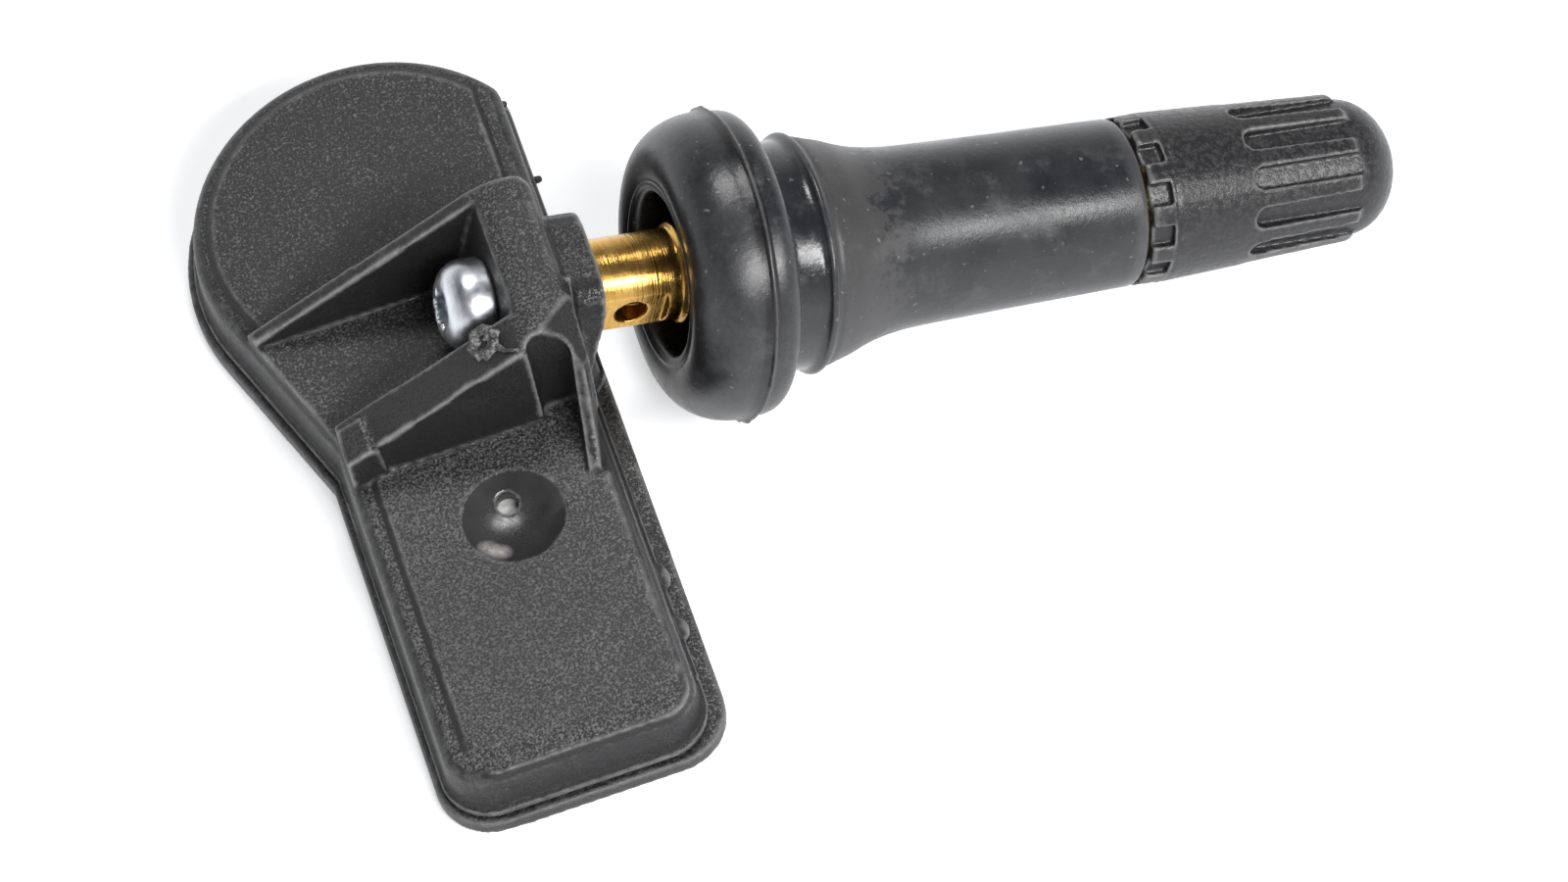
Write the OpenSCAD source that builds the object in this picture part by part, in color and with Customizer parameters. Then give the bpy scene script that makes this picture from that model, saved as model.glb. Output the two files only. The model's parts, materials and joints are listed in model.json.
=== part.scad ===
// Snap-in tyre pressure sensor: a sealed housing screwed to a rubber covered brass valve.
// Millimetres. The sensor lies on the ground on its cap and on the edge of its base away from the valve,
// with the stem along +X, the round end of the housing toward +Y and the screw boss up.

/* [Housing] */
// Half of the width of the base plate
plate_half = 9.15; // [8.8:0.05:9.6]
// Radius of the round end of the base plate
lobe_radius = 12.7; // [12.2:0.1:13.2]
// Distance of the round end's centre from the middle line, toward the outside of the wheel
lobe_shift = 1.15; // [0.8:0.05:1.5]
// Distance from the centre of the round end to the square end
body_reach = 41.5; // [40:0.5:43]
// Angle between the slanted flank and the straight one
flank_angle = 19.5; // [18:0.5:21]
// Radius of the two corners at the square end of the plate
corner_radius = 3.6; // [3:0.1:4.2]
// Thickness of the base plate
plate_thick = 1.2; // [1:0.05:1.4]
// Height of the top face over the underside of the plate
housing_top = 5.6; // [5.5:0.05:6.2]
// Ledge of the plate left free on the flank away from the valve
ledge_left = 0.75; // [0.6:0.05:0.9]
// Ledge of the plate left free on the flank beside the valve
ledge_right = 1.3; // [1.1:0.05:1.5]
// Ledge of the plate left free beside the round end
ledge_round = 0.3; // [0.25:0.05:0.4]
// Thickness of the side walls
wall = 1.1; // [1:0.05:1.2]
// Thickness of the top wall
roof = 0.9; // [0.8:0.05:1]
// Radius of the rounded upper edge
edge_round = 1.0; // [0.7:0.05:1.1]

/* [Boss and ribs] */
// Height of the plateau over the underside of the plate
plateau_z = 14.0; // [13.5:0.1:14.5]
// Position of the outer end of the plateau
plateau_x = 8.1; // [7.9:0.05:8.3]
// Flank of the upper rib that faces the round end
rib_far_y = -5.85; // [-6:0.05:-5.7]
// Flank of the lower rib that faces the square end
rib_near_y = -18.15; // [-18.5:0.05:-17.9]
// Thickness of the upper rib
rib_far_thick = 1.0; // [0.9:0.05:1.2]
// Thickness of the lower rib
rib_near_thick = 3.0; // [2.7:0.1:3.2]
// Height of the rib crest where it leaves the rounded edge
rib_low_z = 6.4; // [6.2:0.05:6.8]

/* [Pressure port] */
// Radius of the round dish in the top face
dish_radius = 3.25; // [3:0.05:3.5]
// Depth of the dish
dish_depth = 0.95; // [0.8:0.05:1]
// Radius of the port
port_radius = 0.68; // [0.5:0.02:0.76]

/* [Valve] */
// Fall of the stem against the top face of the housing
stem_angle = 17.1; // [16:0.1:18]
// Radius of the brass tail
tail_radius = 2.85; // [2.7:0.05:2.95]
// Radius of the rubber flange at its moulding line
flange_radius = 9.85; // [9.6:0.05:10]
// Radius of the groove that sits in the rim of the wheel
groove_radius = 7.2; // [7:0.05:7.3]
// Radius of the ridge that holds the valve in the rim
ridge_radius = 7.6; // [7.5:0.05:7.8]
// Radius of the rubber neck at its end
neck_radius = 5.33; // [5.2:0.01:5.4]
// Radius over the outer thread of the stem
thread_radius = 3.87; // [3.8:0.01:3.9]

/* [Cap] */
// Radius of the skirt
skirt_radius = 5.42; // [5.35:0.01:5.5]
// Radius over the grip ribs at their outer end
grip_radius = 4.8; // [4.7:0.05:4.9]
// Radius of the floor of the grip flutes
flute_floor = 4.38; // [4.3:0.01:4.45]
// Width of a grip flute
flute_width = 1.45; // [1.3:0.05:1.6]

/* [Screw] */
// Radius of the screw head
head_radius = 2.9; // [2.7:0.05:3]
// Height of the screw head
head_height = 2.85; // [2.7:0.05:3.2]

/* [Hidden] */
// Round pieces are drawn with this many sides
$fn = 72;
// Small amount by which cuts run past a face
eps = 0.05;
// Clearance between pieces that slide or are only pushed together
slip = 0.05;
// Twelve grip flutes and twelve slots in the skirt
flute_count = 12;
// Point where the stem axis leaves the boss, seen from the centre of the round end
exit_point = [9.0, -11.3, 7.77];
// Distance along the stem from that point to the moulding line of the flange
exit_to_flange = 9.42;
// Direction of the stem in the frame of the housing
stem_dir = [cos(stem_angle), 0, -sin(stem_angle)];
// Centre of the flange in the frame of the housing
flange_centre = exit_point + exit_to_flange * stem_dir;

// Positions along the stem, counted from the moulding line of the flange toward the cap
collar_s = -exit_to_flange + 0.25;
seat_s = -15.5;
tail_s = -13.2;
tap_end_s = -8.6;
air_end_s = -8.0;
cross_hole_s = -6.7;
flat_end_s = -4.5;
recess_floor_s = 0.5;
neck_end_s = 26.6;
skirt_s = 26.9;
slot_end_s = 28.4;
flute_s = 34.0;
grip_end_s = 41.4;
cap_tip_s = 45.2;
mouth_s = 36.0;

// Radii inside the stem
tap_radius = 1.6;
air_radius = 1.5;
chamber_radius = 2.1;
mouth_radius = 2.7;
sleeve_radius = 3.3;
flat_distance = 2.42;

// The sensor rests on three points: the round end, the square corner beside it and the cap
lobe_centre = [-lobe_shift, 0, 0];
corner_centre = [-plate_half + corner_radius, -body_reach + corner_radius, 0];
right_centre = [plate_half - corner_radius, -body_reach + corner_radius, 0];
grip_centre = flange_centre + grip_end_s * stem_dir;

// Unit vector along v
function unit(v) = v / norm(v);

// Part of v that lies across the unit direction w, as a unit vector
function across(v, w) = unit(v - (v * w) * w);

// Lowest point of a flat disc of the plate, and of the cap's last round, when up points upward
function disc_point(centre, radius, up) = centre - radius * unit([up[0], up[1], 0]);
function cap_point(up) = grip_centre - grip_radius * across(up, stem_dir);

// Upward normal of the plane through the three lowest points, found again until it stays the same
function rest_normal(up, times) =
    times == 0 ? up :
    let (
        p = disc_point(lobe_centre, lobe_radius, up),
        q = disc_point(corner_centre, corner_radius, up),
        n = unit(cross(q - p, cap_point(up) - p))
    )
    rest_normal(n[2] < 0 ? -n : n, times - 1);

up_dir = rest_normal(unit([-0.15, 0, 1]), 12);
out_dir = across(stem_dir, up_dir);
side_dir = cross(up_dir, out_dir);

// A point of the housing frame over the ground, before the part is centred
function on_ground(p) = [p * out_dir, p * side_dir, p * up_dir];

// Points on the outline of the part, so that its middle can be put over the origin
outline_points = [for (z = [0, plate_thick]) for (a = [0:1:359]) each [
    lobe_centre + [lobe_radius * cos(a), lobe_radius * sin(a), z],
    corner_centre + [corner_radius * cos(a), corner_radius * sin(a), z],
    right_centre + [corner_radius * cos(a), corner_radius * sin(a), z]
]];
plan = [for (p = outline_points) on_ground(p)];
dome_s = grip_end_s + 0.3;
dome_height = cap_tip_s - dome_s;
fall_sin = stem_dir * up_dir;
tip_x = max([for (a = [0:1:90]) (flange_centre + (dome_s + dome_height * sin(a)) * stem_dir) * out_dir - flute_floor * cos(a) * fall_sin]);
x_low = min([for (p = plan) p[0]]);
y_low = min([for (p = plan) p[1]]);
y_high = max([for (p = plan) p[1]]);
z_low = on_ground(disc_point(lobe_centre, lobe_radius, up_dir))[2];
centring = [-(x_low + tip_x) / 2, -(y_low + y_high) / 2, -z_low];

// Places a piece drawn in the frame of the housing
module at_housing() {
    translate(centring)
        multmatrix([
            [out_dir[0], out_dir[1], out_dir[2], 0],
            [side_dir[0], side_dir[1], side_dir[2], 0],
            [up_dir[0], up_dir[1], up_dir[2], 0],
            [0, 0, 0, 1]
        ])
            children();
}

// Places a piece drawn along +X from the moulding line of the flange
module at_stem() {
    at_housing()
        translate(flange_centre)
            rotate([0, stem_angle, 0])
                children();
}

// Draws along the stem a piece that was drawn along +Z, in the frame of the housing
module along_axis() {
    translate(flange_centre)
        rotate([0, stem_angle, 0])
            rotate([0, 90, 0])
                children();
}

// A turned piece along +X, from points given as radius and position
module turned(points) {
    rotate([0, 90, 0])
        rotate_extrude()
            polygon(points);
}

// Flank of an outline: it touches the round end and runs to the straight side
flank_normal = [-cos(flank_angle), -sin(flank_angle)];
flank_along = [sin(flank_angle), -cos(flank_angle)];
function flank_start(r) = [-lobe_shift, 0] + r * flank_normal;
function flank_corner(r, x) = flank_start(r) + flank_along * ((x - flank_start(r)[0]) / flank_along[0]);

// A round bar or bore along +X
module bar(from, to, radius) {
    translate([from, 0, 0])
        rotate([0, 90, 0])
            cylinder(h = to - from, r = radius);
}

// Points of an elliptic arc, given as radius and position
function arc(centre, half_r, half_s, from, to, steps) =
    [for (i = [0:steps]) let (a = from + (to - from) * i / steps) [centre[0] + half_r * cos(a), centre[1] + half_s * sin(a)]];

// Outline of the plate or housing: left side, right side, square end, lobe and corner radius,
// then the right side next to the lobe and the radius of the bend between that side and the lobe
module outline(left, right, reach, lobe, corner, edge, bend) {
    low = -reach + corner;
    knee = flank_corner(lobe, -left);
    start = flank_start(lobe);
    bend_centre = [edge - bend, sqrt(pow(lobe - bend, 2) - pow(edge - bend + lobe_shift, 2))];
    turn = atan2(bend_centre[1], bend_centre[0] + lobe_shift);
    bend_end = bend_centre + bend * [cos(turn), sin(turn)];
    intersection() {
        union() {
            translate([-lobe_shift, 0])
                circle(r = lobe, $fn = 96);
            polygon([start, knee, [edge, knee[1]], [edge, 0], [-lobe_shift, 0]]);
            translate([-left, low])
                square([left + right, knee[1] - low + eps]);
            translate([-left + corner, -reach])
                square([left + right - 2 * corner, corner + eps]);
            for (x = [-left + corner, right - corner])
                translate([x, low])
                    circle(r = corner);
        }
        polygon(concat(
            [[-40, -60], [right, -60], [right, step_y], [edge, step_y + 1.1], [edge, bend_centre[1]]],
            [for (i = [1:6]) bend_centre + bend * [cos(turn * i / 6), sin(turn * i / 6)]],
            [bend_end + 20 * [-sin(turn), cos(turn)], [-40, 60]]
        ));
    }
}

// Where the right wall steps inward, under the collar
step_y = exit_point[1] - 4;

// Outline of the base plate drawn in by d
module plate_outline(d) {
    outline(plate_half - d, plate_half - d, body_reach - d, lobe_radius - d, corner_radius - d, plate_half - d, 1.5 - d);
}

// Outline of the straight walls drawn in by d, also used for the room inside
module wall_outline(d) {
    right = plate_half - ledge_right - d;
    outline(plate_half - ledge_left - d, right, body_reach - ledge_left - d, lobe_radius - ledge_left - d,
        max(corner_radius - ledge_left - d, 0.6), right, max(1.5 - d, 0.3));
}

// Outside of the housing drawn in by d: beside the round end it reaches almost to the edge of the plate
module shell_outline(d) {
    outline(plate_half - ledge_left - d, plate_half - ledge_right - d, body_reach - ledge_left - d,
        lobe_radius - ledge_left - d, max(corner_radius - ledge_left - d, 0.6),
        plate_half - ledge_round - d, max(1.5 - d, 0.3));
}

// Outline of the raised panel drawn in by d, at the square end by e
module panel_outline(d, e) {
    right = plate_half - 1.85 - 0.6 * d;
    outline(plate_half - ledge_left - 1.4 - d, right, body_reach - ledge_left - 0.4 - e,
        lobe_radius - ledge_left - 1.1 - d, 2.0 - 0.8 * d, right, 0.6);
}

// The part of an outline above its hollow knee, and the part beside it: each of them is convex
module above_knee() {
    intersection() {
        children();
        translate([-40, flank_corner(lobe_radius - ledge_left, -plate_half + ledge_left)[1]])
            square([80, 60]);
    }
}

module beside_knee(left) {
    intersection() {
        children();
        translate([-left, -60])
            square([40, 60]);
    }
}

module round_part(d) {
    above_knee()
        shell_outline(d);
}

module straight_part(d) {
    beside_knee(plate_half - ledge_left - d)
        wall_outline(d);
}

// Wall and rounded upper edge: two convex blocks, each spanned over thin slices
module housing_body() {
    steps = 5;
    low = plate_thick;
    high = housing_top - 0.35;
    hull() {
        translate([0, 0, low])
            linear_extrude(height = 0.1)
                round_part(0);
        for (i = [0:steps])
            translate([0, 0, high - edge_round * (1 - sin(90 * i / steps)) - 0.01])
                linear_extrude(height = 0.01)
                    round_part(0.15 + edge_round * (1 - cos(90 * i / steps)));
    }
    hull() {
        translate([0, 0, low])
            linear_extrude(height = 0.1)
                straight_part(0);
        for (i = [0:steps])
            translate([0, 0, high - edge_round * (1 - sin(90 * i / steps)) - 0.01])
                linear_extrude(height = 0.01)
                    straight_part(0.15 + edge_round * (1 - cos(90 * i / steps)));
    }
}

// Low raised panel on the top face, with sloping borders
module top_panel() {
    inner = plate_half - ledge_left - 1.4;
    hull() {
        translate([0, 0, housing_top - 0.9])
            linear_extrude(height = 0.5)
                above_knee()
                    panel_outline(0, 0);
        translate([0, 0, housing_top - 0.1])
            linear_extrude(height = 0.1)
                above_knee()
                    panel_outline(0.5, 1.7);
    }
    hull() {
        translate([0, 0, housing_top - 0.9])
            linear_extrude(height = 0.5)
                beside_knee(inner)
                    panel_outline(0, 0);
        translate([0, 0, housing_top - 0.1])
            linear_extrude(height = 0.1)
                beside_knee(inner - 0.5)
                    panel_outline(0.5, 1.7);
    }
}

// Thin lip at the foot of the wall, against which the plate is welded
module foot_lip() {
    translate([0, 0, plate_thick])
        linear_extrude(height = 0.55)
            intersection() {
                shell_outline(-0.3);
                plate_outline(0.06);
            }
}

// Two drops of plastic left by the welding at the foot of the wall
module weld_pips() {
    for (y = [-29.0, -32.85])
        translate([plate_half - 1.05, y, plate_thick])
            intersection() {
                scale([1, 1.6, 1])
                    sphere(r = 0.58, $fn = 24);
                translate([-2, -2, 0])
                    cube([4, 4, 2]);
            }
}

// Side view of everything that rises over the top face: the ramp of the ribs, then the plateau
module ramp_profile() {
    polygon([
        [-12, housing_top - 1],
        [-12, rib_low_z - 0.75],
        [-10.5, rib_low_z],
        [3.4, plateau_z - 0.75],
        [4.2, plateau_z - 0.38],
        [5.0, plateau_z - 0.12],
        [5.8, plateau_z],
        [plateau_x - 0.5, plateau_z],
        [plateau_x - 0.15, plateau_z - 0.15],
        [plateau_x, plateau_z - 0.5],
        [plateau_x - 0.2, housing_top - 1]
    ]);
}

// A profile drawn in X and Z, extruded toward +Y from one position to another
module slab(from, to) {
    translate([0, to, 0])
        rotate([90, 0, 0])
            linear_extrude(height = to - from)
                children();
}

// Ribs and boss in one: the ramp profile, cut to the plan of the boss
module boss() {
    round_far = 1.4;
    intersection() {
        slab(rib_near_y, rib_far_y)
            ramp_profile();
        translate([0, 0, housing_top - 0.9])
            linear_extrude(height = 20)
                intersection() {
                    wall_outline(0.45);
                    union() {
                        translate([-20, rib_near_y])
                            square([20 + plateau_x - round_far, rib_far_y - rib_near_y]);
                        translate([-20, rib_near_y])
                            square([20 + plateau_x, rib_far_y - rib_near_y - round_far]);
                        translate([plateau_x - round_far, rib_far_y - round_far])
                            circle(r = round_far);
                    }
                }
    }
    boss_front();
}

// Slope that takes the corner off the plateau above the scoop
module corner_slope() {
    translate([7.76, -15.46, plateau_z])
        rotate([0, 0, -141.3])
            rotate([90, 0, 90])
                translate([0, 0, -3])
                    linear_extrude(height = 11)
                        polygon([[-0.3, 0.1], [0, 0], [0.25, -0.3], [3, -5.1], [3, 1], [-0.3, 1]]);
}

// Outer part of the boss, which overhangs the rounded edge of the housing
module boss_front() {
    round_far = 1.4;
    intersection() {
        slab(rib_near_y, rib_far_y)
            ramp_profile();
        translate([0, 0, housing_top - 0.9])
            linear_extrude(height = 20)
                union() {
                    translate([2, rib_near_y])
                        square([plateau_x - round_far - 2, rib_far_y - rib_near_y]);
                    translate([2, rib_near_y])
                        square([plateau_x - 2, rib_far_y - rib_near_y - round_far]);
                    translate([plateau_x - round_far, rib_far_y - round_far])
                        circle(r = round_far);
                }
    }
}

// Small pad at the low end of the lower rib
module rib_pad() {
    intersection() {
        slab(rib_near_y - 0.25, rib_near_y + 2.4)
            polygon([[-9, housing_top - 1], [-9, 7.3], [-8.1, 7.9], [-6.3, 8.7], [-5.8, 8.3], [-5.6, housing_top - 1]]);
        translate([0, 0, housing_top - 0.9])
            linear_extrude(height = 20)
                wall_outline(0.45);
    }
}

// Channel between the ribs, closed by the seat of the screw head
module screw_channel() {
    y_low = rib_near_y + rib_near_thick;
    y_high = rib_far_y - rib_far_thick;
    round_seat = 1.2;
    intersection() {
        translate([-20, y_low, housing_top])
            cube([40, y_high - y_low, 20]);
        along_axis()
            translate([-20, -20, seat_s - 40])
                cube([40, 40, 40]);
    }
}

// Hollow cut into the boss beside the lower rib, with rounded inner corners
module boss_scoop() {
    translate([4.45, -18.05, housing_top])
        linear_extrude(height = 10)
            union() {
                translate([0, -3])
                    square([2.7, 3]);
                translate([0.65, -3])
                    square([1.4, 3.75]);
                for (x = [0.65, 2.05])
                    translate([x, 0])
                        scale([0.65, 0.75])
                            circle(r = 1, $fn = 40);
            }
}

// Web that carries the boss toward the square end, over the rounded edge
module gusset() {
    intersection() {
        translate([9.86, 0, 0])
            rotate([90, 0, -10.7])
                translate([0, 0, 10])
                    linear_extrude(height = 16)
                        polygon([[0.3, housing_top - 1], [1.15, housing_top - 1], [1.25, plateau_z], [0.6, plateau_z]]);
        translate([0, 0, 0])
            rotate([90, 0, 90])
                linear_extrude(height = 12)
                    polygon([
                        [-14, housing_top - 1], [-14, plateau_z - 0.2], [-15.4, plateau_z - 0.4], [-16.4, 13.0], [-17.5, 12.0],
                        [-18.4, 10.5], [-19.3, 9.0], [-21.1, 7.0], [-22.8, 6.0], [-23.5, housing_top - 1]
                    ]);
    }
}

// Collar that takes the brass tail, flush with the plane across the stem
module collar() {
    along_axis()
        translate([0, 0, -14.5])
            linear_extrude(height = collar_s + 14.5)
                polygon([
                    [-4.1, -2.0], [-4.1, 2.0], [-3.85, 2.75], [-3.3, 3.4], [-2.5, 3.8], [-1.5, 3.95], [6.2, 3.95],
                    [6.2, -4.1], [-1.5, -4.1], [-2.5, -3.95], [-3.3, -3.5], [-3.85, -2.8]
                ]);
}

// The collar may only stand out beyond the boss, over the ledge of the plate
module collar_room() {
    translate([plate_half - ledge_right - 0.45, -20, plate_thick + 0.1])
        cube([6, 20, 20]);
}

// Room inside the housing
module cavity() {
    translate([0, 0, plate_thick - eps])
        linear_extrude(height = housing_top - roof - plate_thick + eps)
            wall_outline(wall);
}

dish_centre = [0.7, -23.98];
port_centre = [0.6, -22.55];
port_pad_z = 3.85;

// Ball that cuts the dish
module dish() {
    ball = (dish_radius * dish_radius + dish_depth * dish_depth) / (2 * dish_depth);
    translate([dish_centre[0], dish_centre[1], housing_top - dish_depth + ball])
        sphere(r = ball, $fn = 120);
}

// Housing: wall, top with dish, ramped ribs, boss with screw channel and collar
module housing_shell() {
    color([0.16, 0.16, 0.17])
        at_housing()
            difference() {
                union() {
                    difference() {
                        union() {
                            housing_body();
                            top_panel();
                            foot_lip();
                            weld_pips();
                        }
                        cavity();
                    }
                    difference() {
                        union() {
                            boss();
                            rib_pad();
                        }
                        screw_channel();
                        boss_scoop();
                        corner_slope();
                    }
                    difference() {
                        gusset();
                        corner_slope();
                    }
                    intersection() {
                        collar();
                        collar_room();
                    }
                    translate([dish_centre[0], dish_centre[1], port_pad_z])
                        cylinder(h = housing_top - dish_depth - port_pad_z + 0.3, r = 3.0);
                }
                dish();
                translate([port_centre[0], port_centre[1], 3])
                    cylinder(h = 4, r = port_radius, $fn = 36);
                translate([port_centre[0], port_centre[1], port_pad_z - eps])
                    cylinder(h = 0.15 + eps, r = 1.1, $fn = 36);
                along_axis() {
                    translate([0, 0, seat_s - eps])
                        cylinder(h = tail_s - seat_s + 2 * eps, r = 1.85);
                    translate([0, 0, tail_s])
                        intersection() {
                            cylinder(h = 8, r = tail_radius + slip);
                            translate([-5, -flat_distance - slip, 0])
                                cube([10, 2 * (flat_distance + slip), 8]);
                        }
                }
            }
}

// Base plate with the low rim that fits inside the wall
module base_plate() {
    color([0.1, 0.1, 0.11])
        at_housing() {
            linear_extrude(height = plate_thick)
                plate_outline(0);
            translate([0, 0, plate_thick - eps])
                linear_extrude(height = 0.2 + eps)
                    difference() {
                        wall_outline(wall + 0.1);
                        wall_outline(wall + 1.3);
                    }
        }
}

// Brass stem: flatted tail, shoulder in the recess, sleeve in the rubber, outer thread at the cap
module valve_stem() {
    color([0.8, 0.62, 0.28])
        at_stem()
            difference() {
                union() {
                    turned([
                        [0, tail_s + 0.02], [tail_radius - 0.2, tail_s + 0.02], [tail_radius, tail_s + 0.25],
                        [tail_radius, -3.5], [3.2, -3.3], [3.2, -2.2], [tail_radius, -2.0],
                        [tail_radius, recess_floor_s], [sleeve_radius, recess_floor_s + 0.45], [sleeve_radius, 25.0],
                        [thread_radius, 25.6], [thread_radius, mouth_s - 0.5], [thread_radius - 0.5, mouth_s], [0, mouth_s]
                    ]);
                }
                bar(tail_s - 1, tap_end_s, tap_radius);
                bar(air_end_s, 12.1, air_radius);
                bar(12, 28.61, chamber_radius);
                turned([[0, 28.6], [chamber_radius, 28.6], [mouth_radius, 30.2], [mouth_radius, mouth_s + 1], [0, mouth_s + 1]]);
                translate([cross_hole_s, 0, 0])
                    rotate([90, 0, 0])
                        cylinder(h = 8, r = 1.0, center = true, $fn = 48);
                for (side = [-1, 1])
                    translate([tail_s - 1, side * (flat_distance + 2) - 2, -5])
                        cube([flat_end_s - tail_s + 1, 4, 10]);
            }
}

// Rubber cover: hollow round flange, rim groove, retaining ridge and tapering neck
module rubber_body() {
    color([0.13, 0.13, 0.14])
        at_stem()
            turned(concat(
                [[tail_radius, recess_floor_s], [4.2, recess_floor_s], [4.6, recess_floor_s - 0.3], [5.1, -3.7], [5.2, -3.95]],
                [[5.5, -4.0], [5.62, -4.14], [5.78, -4.14], [5.9, -4.02]],
                arc([6.8, -0.4], 2.85, 3.85, 255, 356, 12),
                [[flange_radius, -0.1], [flange_radius, 0.1], [9.55, 0.2]],
                arc([8.7, 1.15], 0.8, 0.85, 10, 90, 5),
                [[groove_radius + 0.5, 2.05], [groove_radius + 0.1, 2.2], [groove_radius, 2.5], [groove_radius, 4.1]],
                [[groove_radius + 0.12, 4.3], [ridge_radius - 0.08, 4.5], [ridge_radius, 4.7], [ridge_radius - 0.1, 4.95]],
                [[7.28, 5.2], [7.22, 5.6], [7.02, 6.2], [6.72, 7.2], [6.35, 8.2], [6.02, 9.3], [5.8, 10.6], [5.68, 12.2]],
                [[5.6, 15], [5.5, 18.5], [5.43, 22], [neck_radius, 26.2], [neck_radius - 0.15, neck_end_s]],
                [[thread_radius, neck_end_s], [thread_radius, 25.6], [sleeve_radius, 25.0], [sleeve_radius, recess_floor_s + 0.45]]
            ));
}

// Screw with a domed head and a six lobed socket
module retaining_screw() {
    color([0.75, 0.76, 0.78])
        at_stem()
            difference() {
                union() {
                    turned(concat(
                        [[0, seat_s], [head_radius - 0.15, seat_s], [head_radius, seat_s - 0.15], [head_radius, seat_s - 1.2]],
                        arc([head_radius - 1.7, seat_s - 1.2], 1.7, head_height - 1.2, 0, -90, 7),
                        [[0, seat_s - head_height]]
                    ));
                    bar(seat_s - 0.5, tap_end_s - 0.6, tap_radius - slip);
                }
                bar(seat_s - head_height - 1, seat_s - 1.3, 0.95);
                for (i = [0:5])
                    rotate([60 * i, 0, 0])
                        translate([0, 0, 0.95])
                            bar(seat_s - head_height - 1, seat_s - 1.3, 0.36, $fn = 24);
            }
}

// Outside of the cap, from skirt to dome
module cap_body() {
    turned(concat(
        [[0, skirt_s], [skirt_radius - 0.12, skirt_s], [skirt_radius, skirt_s + 0.15], [skirt_radius, slot_end_s]],
        [[skirt_radius - 0.1, slot_end_s + 0.08], [skirt_radius - 0.02, slot_end_s + 0.3]],
        [[grip_radius, grip_end_s - 0.1], [grip_radius - 0.05, grip_end_s], [flute_floor, grip_end_s + 0.3]],
        arc([0, grip_end_s + 0.3], flute_floor, dome_height, 0, 90, 14)
    ));
}

// Screw cap with twelve open flutes and a slotted skirt
module valve_cap() {
    color([0.2, 0.2, 0.21])
        at_stem()
            difference() {
                cap_body();
                bar(skirt_s - 1, mouth_s + 0.2, thread_radius + slip);
                bar(mouth_s, mouth_s + 1.2, 3.4);
                for (i = [0:flute_count - 1])
                    rotate([360 / flute_count * i + 3, 0, 0]) {
                        intersection() {
                            difference() {
                                union() {
                                    translate([flute_s + flute_width / 2, -flute_width / 2, 0])
                                        cube([10, flute_width, 8]);
                                    translate([flute_s + flute_width / 2, 0, 0])
                                        cylinder(h = 8, r = flute_width / 2, $fn = 24);
                                }
                                bar(flute_s - 1, cap_tip_s + 5, flute_floor);
                            }
                            bar(flute_s - 1, grip_end_s + 0.35, 8);
                        }
                        translate([skirt_s - 1, -0.72, 4.85])
                            cube([slot_end_s - 0.1 - skirt_s + 1, 1.44, 2]);
                    }
            }
}

// Rubber disc in the top of the cap
module cap_seal() {
    color([0.35, 0.12, 0.1])
        at_stem()
            difference() {
                bar(mouth_s + 0.02, mouth_s + 1.18, 3.38);
                bar(mouth_s - 1, mouth_s + 0.5, 1.2);
            }
}

// Threaded plug of the valve core with its barrel
module core_plug() {
    color([0.72, 0.66, 0.5])
        at_stem()
            difference() {
                union() {
                    bar(31, 34.2, mouth_radius - slip);
                    bar(26.6, 31.1, 1.75);
                    intersection() {
                        bar(34.1, 35.2, mouth_radius - 0.4);
                        translate([33, -5, -0.8])
                            cube([4, 10, 1.6]);
                    }
                }
                bar(27, 31, 1.35);
                bar(26, 36, 0.85);
            }
}

// Pin of the valve core, pressed down by a pressure gauge or an air line
module core_pin() {
    color([0.78, 0.74, 0.6])
        at_stem() {
            bar(25.2, 35.3, 0.45, $fn = 32);
            bar(35.2, 35.8, 0.7, $fn = 32);
            bar(30.35, 30.75, 0.78, $fn = 32);
        }
}

// Rubber faced cup that the pin lifts off the barrel
module core_cup() {
    color([0.2, 0.1, 0.1])
        at_stem()
            difference() {
                turned([[0, 24.9], [1.1, 24.9], [1.6, 25.6], [1.6, 26.5], [1.2, 26.58], [0, 26.58]]);
                bar(25.2, 28, 0.45, $fn = 32);
            }
}

// Coil spring of the core: an upright slice of wire, twisted along the barrel
module core_spring() {
    coils = 4;
    pitch = 0.8;
    wire = 0.13;
    color([0.7, 0.7, 0.72])
        at_stem()
            translate([27.05, 0, 0])
                rotate([0, 90, 0])
                    linear_extrude(height = coils * pitch, twist = 360 * coils, slices = coils * 20, $fn = 12)
                        polygon([for (a = [0:30:330])
                            (1.08 + wire * cos(a)) * [cos(wire / pitch * 360 * sin(a)), sin(wire / pitch * 360 * sin(a))]]);
}

// Tapered sleeve that seals the barrel against the stem
module core_sleeve() {
    color([0.9, 0.9, 0.88])
        at_stem()
            turned([[1.75, 29.0], [2.2, 29.0], [2.64, 30.15], [2.64, 30.95], [1.75, 30.95]]);
}

board_z = 1.4;
board_top = 2.2;
cell_centre = [-lobe_shift - 1.25, 1.0];
cell_radius = lobe_radius - 4.7;
cell_low = plate_thick + 0.12;
cell_top = cell_low + 3.2;
tab_y = cell_centre[1] - cell_radius - 0.5;

// Circuit board, carried by the low rim of the plate
module circuit_board() {
    color([0.1, 0.35, 0.2])
        at_housing()
            translate([0, 0, board_z])
                linear_extrude(height = board_top - board_z)
                    intersection() {
                        wall_outline(wall + 0.25);
                        translate([-20, -60])
                            square([40, 60 + tab_y - 0.4]);
                    }
}

// Coin cell in the round end
module battery_cell() {
    color([0.75, 0.76, 0.77])
        at_housing()
            translate([cell_centre[0], cell_centre[1], cell_low]) {
                translate([0, 0, 0.5])
                    cylinder(h = 2.7, r = cell_radius);
                cylinder(h = 0.6, r = cell_radius - 1.1);
            }
}

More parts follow.
